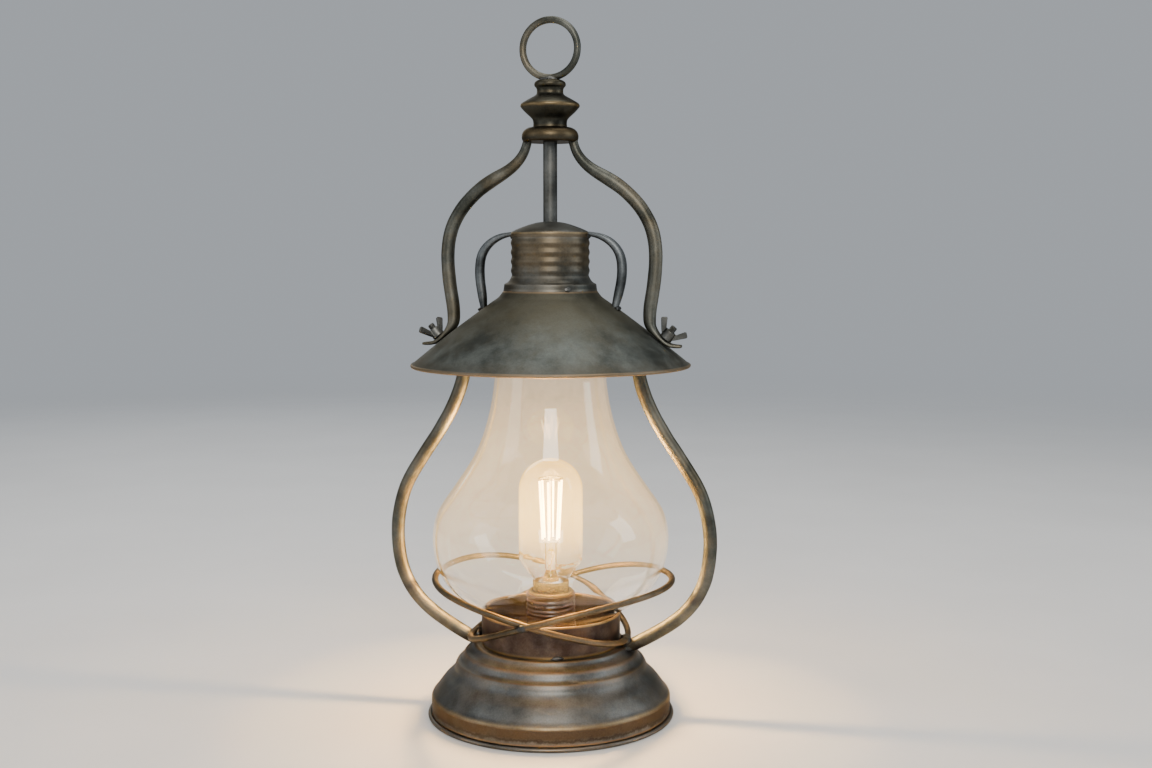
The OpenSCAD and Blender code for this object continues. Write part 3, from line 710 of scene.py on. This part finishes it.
def turned(name, node, material, body, step=0.8 * MM, sides=192, dent=0.0, wear_scale=1.0,
           shape=None, passes=2):
    """A turned node remade as a smooth mesh from its own outline, with slight hand-made unevenness."""
    verts, faces, uvs, wears = [], [], [], []
    for loop in section(node):
        ring = resample(tidy_outline(loop), step, passes)
        far = max(r for r, z in ring)
        lengths = [0.0]
        for i in range(len(ring)):
            lengths.append(lengths[-1] + math.dist(ring[i], ring[(i + 1) % len(ring)]))
        rows = []
        for (r, z), rub in zip(ring, edge_wear(ring)):
            rows.append([])
            for s in range(sides if r > ON_AXIS else 1):
                angle = 2 * math.pi * s / sides
                x, y = math.cos(angle), math.sin(angle)
                out = shape(r, z, angle) if shape else r
                if dent:
                    out += dent * uneven(Vector((x * r, y * r, z)), DENT_SIZE) * min(r / far, 1)
                rows[-1].append(len(verts))
                verts.append((out * x, out * y, z))
                wears.append(rub * wear_scale)
        more_faces, more_uvs = lathe_faces(rows, lengths, far, sides)
        faces += more_faces
        uvs += more_uvs
    add_piece(name, verts, faces, material, body, (node,), wears, uvs)


def tree_of(node):
    mesh = frame["nodes"][node].data
    return BVHTree.FromPolygons([v.co for v in mesh.vertices], [tuple(p.vertices) for p in mesh.polygons])


def cross_axes(centre, way):
    """The level and rising directions across a bar. A bar in the plane y = 0 keeps one level direction."""
    flat = abs(centre.y) < 0.4 * MM and abs(way.y) < 0.05
    across = Vector((0, -1, 0)) if flat else way.cross(UP).normalized()
    return across, across.cross(way).normalized()


def trace(node, start, way, step=1.5 * MM, reach=9 * MM):
    """Follows a bent bar from a point inside it: a list of (centre, half width, half thickness).

    A bolt hole on the way is stepped over.
    """
    tree = tree_of(node)
    most_stations, least_round = 800, 20
    thickest, hole = 5 * MM, 6 * MM

    def measure(centre, way):
        across, rise = cross_axes(centre, way)
        far = [tree.ray_cast(centre, ray, reach)[3] for ray in (across, -across, rise, -rise)]
        if None in far:
            return None
        middle = centre + across * (far[0] - far[1]) / 2 + rise * (far[2] - far[3]) / 2
        return middle, (far[0] + far[1]) / 2, (far[2] + far[3]) / 2

    def inside(point):
        spot, normal, _, _ = tree.find_nearest(point)
        return (spot - point).dot(normal) > 0

    centre, way = Vector(start), Vector(way).normalized()
    stations = []
    for count in range(most_stations):
        found = measure(centre, way)
        if found:
            centre = found[0]
            if stations:
                ahead = (centre - stations[-1][0]).normalized()
                way = (way * 0.4 + ahead * 0.6).normalized()
            stations.append(found)
        end = tree.ray_cast(centre, way, step * 1.05)[3]

        # At a wall, the bar either goes on past a bolt hole or ends.
        if end is not None:
            past = centre + way * (end + hole)
            beyond = measure(past, way) if inside(past) else None
            if not beyond or beyond[2] > thickest:
                stations.append((centre + way * end, *stations[-1][1:]))
                break
            here = stations[-1]
            for k in (1, 2, 3):
                stations.append(tuple(p + (q - p) * k / 4 for p, q in zip(here, beyond)))
            centre = beyond[0]
            continue
        centre = centre + way * step

        # A hoop ends where it began.
        if count > least_round and (centre - Vector(start)).length < step * 0.8:
            break
    return stations


def even(values, loop, passes):
    """Numbers or points with their jitter smoothed out."""
    count = len(values)
    for _ in range(passes):
        values = [
            (values[i - 1] + values[i] * 2 + values[(i + 1) % count]) / 4
            if loop or 0 < i < count - 1 else values[i]
            for i in range(count)
        ]
    return values


def longer(stations, at_start, at_end):
    """Stations carried on past both ends, into the pieces that they are fixed to."""
    a, b = stations[0], stations[1]
    y, z = stations[-2], stations[-1]
    first = (a[0] + (a[0] - b[0]).normalized() * at_start, *a[1:])
    last = (z[0] + (z[0] - y[0]).normalized() * at_end, *z[1:])
    return ([first] if at_start else []) + stations + ([last] if at_end else [])


def swept(name, stations, material, node, sides=40, loop=False, rough=0.0, mirror=False):
    """A smooth bar along traced stations: round where they are round, flattened where they are flat."""
    centres = even([s[0] for s in stations], loop, 4)
    widths = even([s[1] for s in stations], loop, 6)
    thick = even([s[2] for s in stations], loop, 6)
    count = len(centres)

    def ring(i, shrink=0.0, ahead=0.0):
        a = centres[i - 1 if loop else max(i - 1, 0)]
        b = centres[(i + 1) % count if loop else min(i + 1, count - 1)]
        way = (b - a).normalized()
        across, rise = cross_axes(centres[i], way)
        square = 0.45 + 0.55 * min(thick[i] / widths[i], 1)
        made = []
        for s in range(sides):
            cx, sx = math.cos(2 * math.pi * s / sides), math.sin(2 * math.pi * s / sides)
            along = math.copysign(abs(cx) ** square, cx) * (widths[i] - shrink)
            up = math.copysign(abs(sx) ** square, sx) * (thick[i] - shrink)
            point = centres[i] + way * ahead + across * along + rise * up
            point += (point - centres[i]).normalized() * rough * uneven(point, TUBE_DENT_SIZE)
            made.append(point)
        return made

    if loop:
        rows = [ring(i) for i in range(count)]
    else:
        # Both ends are slightly rounded off.
        end, blunt, nearly, inset = count - 1, 0.7 * MM, 0.2 * MM, 0.15 * MM
        rows = [ring(0, blunt), ring(0, nearly, inset), *(ring(i) for i in range(1, end)),
                ring(end, nearly, -inset), ring(end, blunt)]
    verts = [(-p.x, p.y, p.z) if mirror else tuple(p) for row in rows for p in row]
    faces, uvs, run = [], [], 0.0
    around = 2 * math.pi * max(widths)
    for k in range(len(rows) if loop else len(rows) - 1):
        a, b = k * sides, (k + 1) % len(rows) * sides
        far = run + (rows[(k + 1) % len(rows)][0] - rows[k][0]).length
        for s in range(sides):
            t = (s + 1) % sides
            u0, u1 = around * s / sides, around * (s + 1) / sides
            face = (a + s, b + s, b + t, a + t)
            quad = ((u0, run), (u0, far), (u1, far), (u1, run))
            faces.append(face[::-1] if mirror else face)
            uvs.append(quad[::-1] if mirror else quad)
        run = far
    if not loop:
        for k, flip in ((0, False), (len(rows) - 1, True)):
            cap = [k * sides + s for s in range(sides)]
            faces.append(tuple(cap[::-1] if flip != mirror else cap))
            uvs.append(((0.0, 0.0),) * sides)
    add_piece(name, verts, faces, material, "lamp", (node,), None, uvs)


def lump(name, spot, size, material, seed, turn=0.0):
    """A run of weld or solder, its half sizes in millimetres, turned about the upright axis in degrees."""
    bm = bmesh.new()
    bmesh.ops.create_icosphere(bm, subdivisions=4, radius=1.0)
    spin = Matrix.Rotation(math.radians(turn), 3, "Z")
    for v in bm.verts:
        swell = 1 + 0.25 * noise.noise(v.co * 1.3 + Vector((seed, 0, 0)))
        swell += 0.08 * noise.noise(v.co * 4.5 + Vector((0, seed, 0)))
        v.co = spin @ Vector([v.co[n] * swell * size[n] * MM for n in range(3)]) + Vector(spot)
    verts = [tuple(v.co) for v in bm.verts]
    faces = [tuple(v.index for v in f.verts) for f in bm.faces]
    bm.free()
    add_piece(name, verts, faces, material, "lamp", ())


def threaded(r, pitch, depth, z, angle):
    """Radius of a rounded right-hand screw thread."""
    turn = (z / pitch - angle / (2 * math.pi)) % 1.0
    return r - depth * 0.5 * (1 + math.cos(2 * math.pi * turn))


# ---------- turned pieces ----------

def make_sheet_metal():
    turned("base_skin", "base_shell", "base", "lamp", dent=0.25 * MM, sides=256)
    turned("pan_skin", "base_pan", "base", "lamp", step=0.4 * MM, sides=256, wear_scale=0.4)
    turned("cup_skin", "gallery_cup", "cup", "lamp", dent=0.2 * MM)
    turned("shade_skin", "shade", "shade", "lamp", dent=0.6 * MM, sides=256)
    turned("collar_skin", "vent_collar", "vent", "lamp", step=0.5 * MM, dent=0.15 * MM,
           wear_scale=0.4)
    turned("vent_skin", "vent_body", "vent", "lamp", step=0.5 * MM, dent=0.2 * MM,
           wear_scale=0.5)
    turned("cap_skin", "vent_cap", "vent", "lamp", step=0.5 * MM, dent=0.2 * MM,
           wear_scale=0.4)


def make_finial():
    turned("rod_skin", "centre_rod", "turned", "lamp", sides=64)
    for part in ("collar", "knop", "cap"):
        turned(f"finial_{part}_skin", f"finial_{part}", "finial", "lamp", step=0.4 * MM,
               sides=128, wear_scale=0.2)


SCREW_PITCH = 3.63 * MM
SLEEVE_PITCH = 3.3 * MM


def make_holder():
    lo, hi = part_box("holder_sleeve")

    def banded(r, z, angle):
        outside = r > hi.x - 1.2 * MM and lo.z + 3 * MM < z < hi.z - 2 * MM
        return threaded(r, SLEEVE_PITCH, 0.55 * MM, z, angle) if outside else r

    turned("sleeve_skin", "holder_sleeve", "resin", "lamp", step=0.3 * MM, sides=128,
           shape=banded)
    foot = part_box("screw_shell")[0].z

    def shell(r, z, angle):
        return threaded(r + 0.5 * MM, SCREW_PITCH, 0.5 * MM, z, angle) if z > foot + 1 * MM else r

    turned("screw_shell_skin", "screw_shell", "brass", "lamp", step=0.3 * MM, sides=96,
           shape=shell)
    turned("flange_skin", "holder_flange", "brass", "lamp", step=0.3 * MM, sides=128)


def make_glass():
    lo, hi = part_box("bulb_cap")

    def screw(r, z, angle):
        if lo.z + 3.5 * MM < z < hi.z - 6.2 * MM and r > 8 * MM:
            return threaded(r, SCREW_PITCH, 0.75 * MM, z, angle)
        return r

    turned("bulb_cap_skin", "bulb_cap", "brass", "bulb", step=0.3 * MM, sides=96, shape=screw)
    turned("bulb_glass_skin", "bulb_glass", "bulb", "bulb", sides=128)
    turned("bulb_stem_skin", "bulb_stem", "bulb", "bulb", step=0.6 * MM, sides=48)
    turned("chimney_skin", "chimney_glass", "chimney", "chimney", step=1.2 * MM,
           passes=24)


# ---------- bent tubes and wires ----------

def top_centre(node):
    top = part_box(node)[1].z
    points = [v.co for v in frame["nodes"][node].data.vertices if v.co.z > top - 0.3 * MM]
    return sum(points, Vector()) / len(points)


def both_sides(node, stations, material, rough):
    for side, flip in (("right", False), ("left", True)):
        swept(f"{node}_{side}_skin", stations, material, f"{node}_{side}", rough=rough, mirror=flip)


def outermost(node, way):
    return max(frame["nodes"][node].data.vertices, key=lambda v: v.co.dot(way)).co.copy()


def up_and_down(node, way, depth):
    """Stations both ways from just inside the outermost point of an upright bar."""
    start = outermost(node, way) - way * depth
    start.y = 0
    return trace(node, start, UP)[::-1] + trace(node, start, -UP)[1:]


def make_arms():
    stations = trace("upper_arm_right", top_centre("upper_arm_right") - UP * 0.8 * MM, (0.2, 0, -1))
    both_sides("upper_arm", longer(stations, 2 * MM, 0), "bronze", 0.15 * MM)
    stations = up_and_down("lower_arm_right", Vector((1, 0, 0)), 4.6 * MM)
    both_sides("lower_arm", longer(stations, 0, 3.5 * MM), "arm", 0.12 * MM)
    for side, sign in (("left", -1), ("right", 1)):
        node = f"vent_handle_{side}"
        stations = up_and_down(node, Vector((sign, 0, 0)), 3.4 * MM)
        swept(f"{node}_skin", longer(stations, 1.2 * MM, 1.0 * MM), "handle", node, rough=0.1 * MM)


def make_hoops():
    """The two wire hoops. A faceted tube is traced slightly thin, which is made good here."""
    fuller = 1.02
    for side, sign in (("left", -1), ("right", 1)):
        node = f"guard_hoop_{side}"
        way = Vector((sign, 0, 0))
        stations = trace(node, outermost(node, way) - way * 2.2 * MM, (0, 1, 0))
        stations = [(centre, w * fuller, t * fuller) for centre, w, t in stations]
        swept(f"{node}_skin", stations, "wire", node, sides=28, loop=True, rough=0.06 * MM)


def make_hanging_ring():
    """The ring, with its own turn about the upright axis kept."""
    node = "hanging_ring"
    lo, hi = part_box(node)
    centre = (lo + hi) / 2
    outer = (hi.z - lo.z) / 2
    inner = tree_of(node).ray_cast(centre, UP)[3]
    reach, wire = (outer + inner) / 2, (outer - inner) / 2
    flat = outermost(node, Vector((1, 0, 0))) - centre
    flat = Vector((flat.x, flat.y, 0)).normalized()
    out_of_plane = flat.cross(UP)
    turns, sides = 120, 28
    verts, faces, uvs = [], [], []
    for i in range(turns):
        angle = 2 * math.pi * i / turns
        way_out = flat * math.cos(angle) + UP * math.sin(angle)
        for s in range(sides):
            around = 2 * math.pi * s / sides
            across = way_out * math.cos(around) + out_of_plane * math.sin(around)
            spot = centre + way_out * reach
            out = wire + 0.08 * MM * uneven(spot + across * wire, WIRE_DENT_SIZE)
            verts.append(tuple(spot + across * out))
    for i in range(turns):
        a, b = i * sides, (i + 1) % turns * sides
        v0, v1 = 2 * math.pi * reach * i / turns, 2 * math.pi * reach * (i + 1) / turns
        for s in range(sides):
            t = (s + 1) % sides
            u0, u1 = 2 * math.pi * wire * s / sides, 2 * math.pi * wire * (s + 1) / sides
            faces.append((a + s, a + t, b + t, b + s))
            uvs.append(((u0, v0), (u1, v0), (u1, v1), (u0, v1)))
    add_piece("hanging_ring_skin", verts, faces, "bronze", "lamp", (node,), None, uvs)


# ---------- fasteners, welds and small pieces ----------

def soften(name, node, material, body, voxel, rounds):
    """A cast node remade with softened edges."""
    mesh = frame["nodes"][node].data.copy()
    obj = bpy.data.objects.new(name, mesh)
    bpy.context.scene.collection.objects.link(obj)
    remesh = obj.modifiers.new("remesh", "REMESH")
    remesh.mode = "VOXEL"
    remesh.voxel_size = voxel
    smooth = obj.modifiers.new("smooth", "SMOOTH")
    smooth.factor = 0.5
    smooth.iterations = rounds
    evaluated = obj.evaluated_get(bpy.context.evaluated_depsgraph_get())
    made = bpy.data.meshes.new_from_object(evaluated)
    verts = [tuple(v.co) for v in made.vertices]
    faces = [tuple(p.vertices) for p in made.polygons]
    bpy.data.objects.remove(obj)
    add_piece(name, verts, faces, material, body, (node,))


def joint(name):
    return next(j for j in frame["joints"] if j["name"] == name)


def bolt(foot, axis, low, high, r, head_r, head_h):
    """A hex-headed bolt with a rounded thread. Returns its points and faces."""
    across = axis.cross(Vector((0, 1, 0))).normalized()
    other = axis.cross(across)
    sides, pitch, depth, step, tip = 48, 0.8 * MM, 0.34 * MM, 0.1 * MM, 0.6 * MM
    angles = [2 * math.pi * s / sides for s in range(sides)]
    half = math.pi / 6
    hexagon = [head_r * math.cos(half) / math.cos(a % (2 * half) - half) for a in angles]
    neck = low + head_h
    rows = [
        [(h, out * share) for out in hexagon]
        for h, share in ((low, 0.93), (low + 0.4 * MM, 1.0), (neck - 0.2 * MM, 1.0), (neck, 0.96))
    ]
    count = int((high - neck) / step)
    for k in range(count + 1):
        h = neck + (high - neck) * k / count
        taper = max(0.0, (h - high + tip) / tip) * 0.45 * MM
        rows.append([(h, threaded(r, pitch, depth, h, a) - taper) for a in angles])
    verts = [
        tuple(foot + axis * h + (across * math.cos(a) + other * math.sin(a)) * out)
        for row in rows for a, (h, out) in zip(angles, row)
    ]
    faces = []
    for k in range(len(rows) - 1):
        for s in range(sides):
            t = (s + 1) % sides
            faces.append((k * sides + s, k * sides + t, (k + 1) * sides + t, (k + 1) * sides + s))
    faces.append(tuple(range(sides))[::-1])
    faces.append(tuple((len(rows) - 1) * sides + s for s in range(sides)))
    return verts, faces


def make_bolts():
    """The two bolts, with the sizes of their heads and shanks taken from the CAD bolts."""
    verts, faces = [], []
    cad = [v.co for v in frame["nodes"]["hood_bolts"].data.vertices]
    for side in ("left", "right"):
        hinge = joint(f"{side}_nut_turn")
        foot, axis = Vector(hinge["pos_m"]), Vector(hinge["axis"]).normalized()
        near = [p - foot for p in cad if (p - foot).length < 30 * MM]
        heights = [p.dot(axis) for p in near]
        out = [(p - axis * h).length for p, h in zip(near, heights)]
        low, high, head_r = min(heights), max(heights), max(out)
        r = max(d for d, h in zip(out, heights) if h > 0)
        under = min(h for d, h in zip(out, heights) if h > low + 0.5 * MM)
        points, skin = bolt(foot, axis, low, high, r, head_r, under - low)
        faces += [tuple(i + len(verts) for i in face) for face in skin]
        verts += points
    add_piece("hood_bolts_skin", verts, faces, "zinc", "lamp", ("hood_bolts",))


def make_nuts():
    for side in ("left", "right"):
        soften(f"wing_nut_{side}_skin", f"wing_nut_{side}", "zinc", f"{side}_wing_nut",
               0.24 * MM, 5)


def round_the_lamp(degrees, radius, z):
    """A place at a height, turned to the right of the front."""
    angle = math.radians(degrees)
    return math.sin(angle) * radius, -math.cos(angle) * radius, z


def make_welds():
    """Runs of weld at the feet of the arms and hoops."""
    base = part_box("base_shell")[1].z
    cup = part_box("gallery_cup")[1].x
    foot = (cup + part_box("lower_arm_right")[0].x) / 2 + 3.5 * MM
    for side, name, seed in ((-1, "left", 3), (1, "right", 8)):
        lump(f"foot_weld_{name}", (side * foot, -1.5 * MM, base + 4.2 * MM), (4.4, 6.0, 3.4), "weld", seed)
        lump(f"neck_weld_{name}", (side * (foot + 2 * MM), 0, base - 1.6 * MM), (4.0, 6.6, 2.4),
             "weld", seed + 1)
    hoop = [v.co for v in frame["nodes"]["guard_hoop_left"].data.vertices]
    front = min(co.y for co in hoop)
    heights = [co.z for co in hoop if abs(co.x) < 6 * MM and co.y < 0]
    middle = sum(heights) / len(heights)
    lump("hoop_weld", (-1.6 * MM, front + 1.2 * MM, middle + 0.4 * MM), (3.6, 2.6, 2.5), "weld", 5)
    seam = 17.5
    lump("cup_solder", round_the_lamp(seam, cup + 0.2 * MM, base + 0.5 * MM), (4.2, 1.0, 1.6),
         "weld", 23, turn=seam)


def make_solder():
    """Solder under the ring, on the collar and at both ends of the vent handles."""
    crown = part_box("finial_cap")[1].z
    lump("ring_solder", (0, 0, crown + 0.2 * MM), (6.4, 4.6, 2.3), "solder", 11, turn=-4)
    lo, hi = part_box("vent_collar")
    seam = 34
    lump("collar_solder", round_the_lamp(seam, hi.x - 0.8 * MM, lo.z + 1.2 * MM), (2.6, 1.3, 2.0),
         "solder", 14, turn=seam)
    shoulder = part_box("vent_body")[1].z
    for side, name in ((-1, "left"), (1, "right")):
        handle = f"vent_handle_{name}"
        lo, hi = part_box(handle)
        points = [v.co for v in frame["nodes"][handle].data.vertices if v.co.z < lo.z + 2 * MM]
        end = sum(points, Vector()) / len(points)
        root = min(abs(lo.x), abs(hi.x))
        lump(f"handle_solder_{name}", (end.x + side * 0.6 * MM, 0, end.z - 0.2 * MM), (2.8, 4.6, 1.6),
             "weld", 17)
        lump(f"root_solder_{name}", (side * (root + 0.3 * MM), 0, shoulder + 0.2 * MM), (1.8, 3.6, 1.7),
             "weld", 20)


PLAIN = {
    "cord_grommet": "rubber", "holder_nipple": "brass", "nipple_nut": "brass", "nipple_washer": "brass",
    "holder_insert": "ceramic", "terminal_screws": "zinc", "centre_contact": "brass",
    "bulb_insulator": "insulator", "bulb_contact": "brass", "bulb_driver": "board",
    "bulb_filaments": "filament", "bulb_wires": "zinc", "rod_nut": "zinc",
}


def finish_plain_nodes():
    """The small pieces that keep their CAD shape each get their own finish."""
    for node, material in PLAIN.items():
        mesh = frame["nodes"][node].data
        mesh.materials.clear()
        mesh.materials.append(MATERIALS[material])
        mesh.shade_smooth()
        mesh.set_sharp_from_angle(angle=SHARP)


camera()
floor()
studio()
bulb_light()
make_sheet_metal()
make_finial()
make_holder()
make_glass()
make_arms()
make_hoops()
make_hanging_ring()
make_bolts()
make_nuts()
make_welds()
make_solder()
finish_plain_nodes()
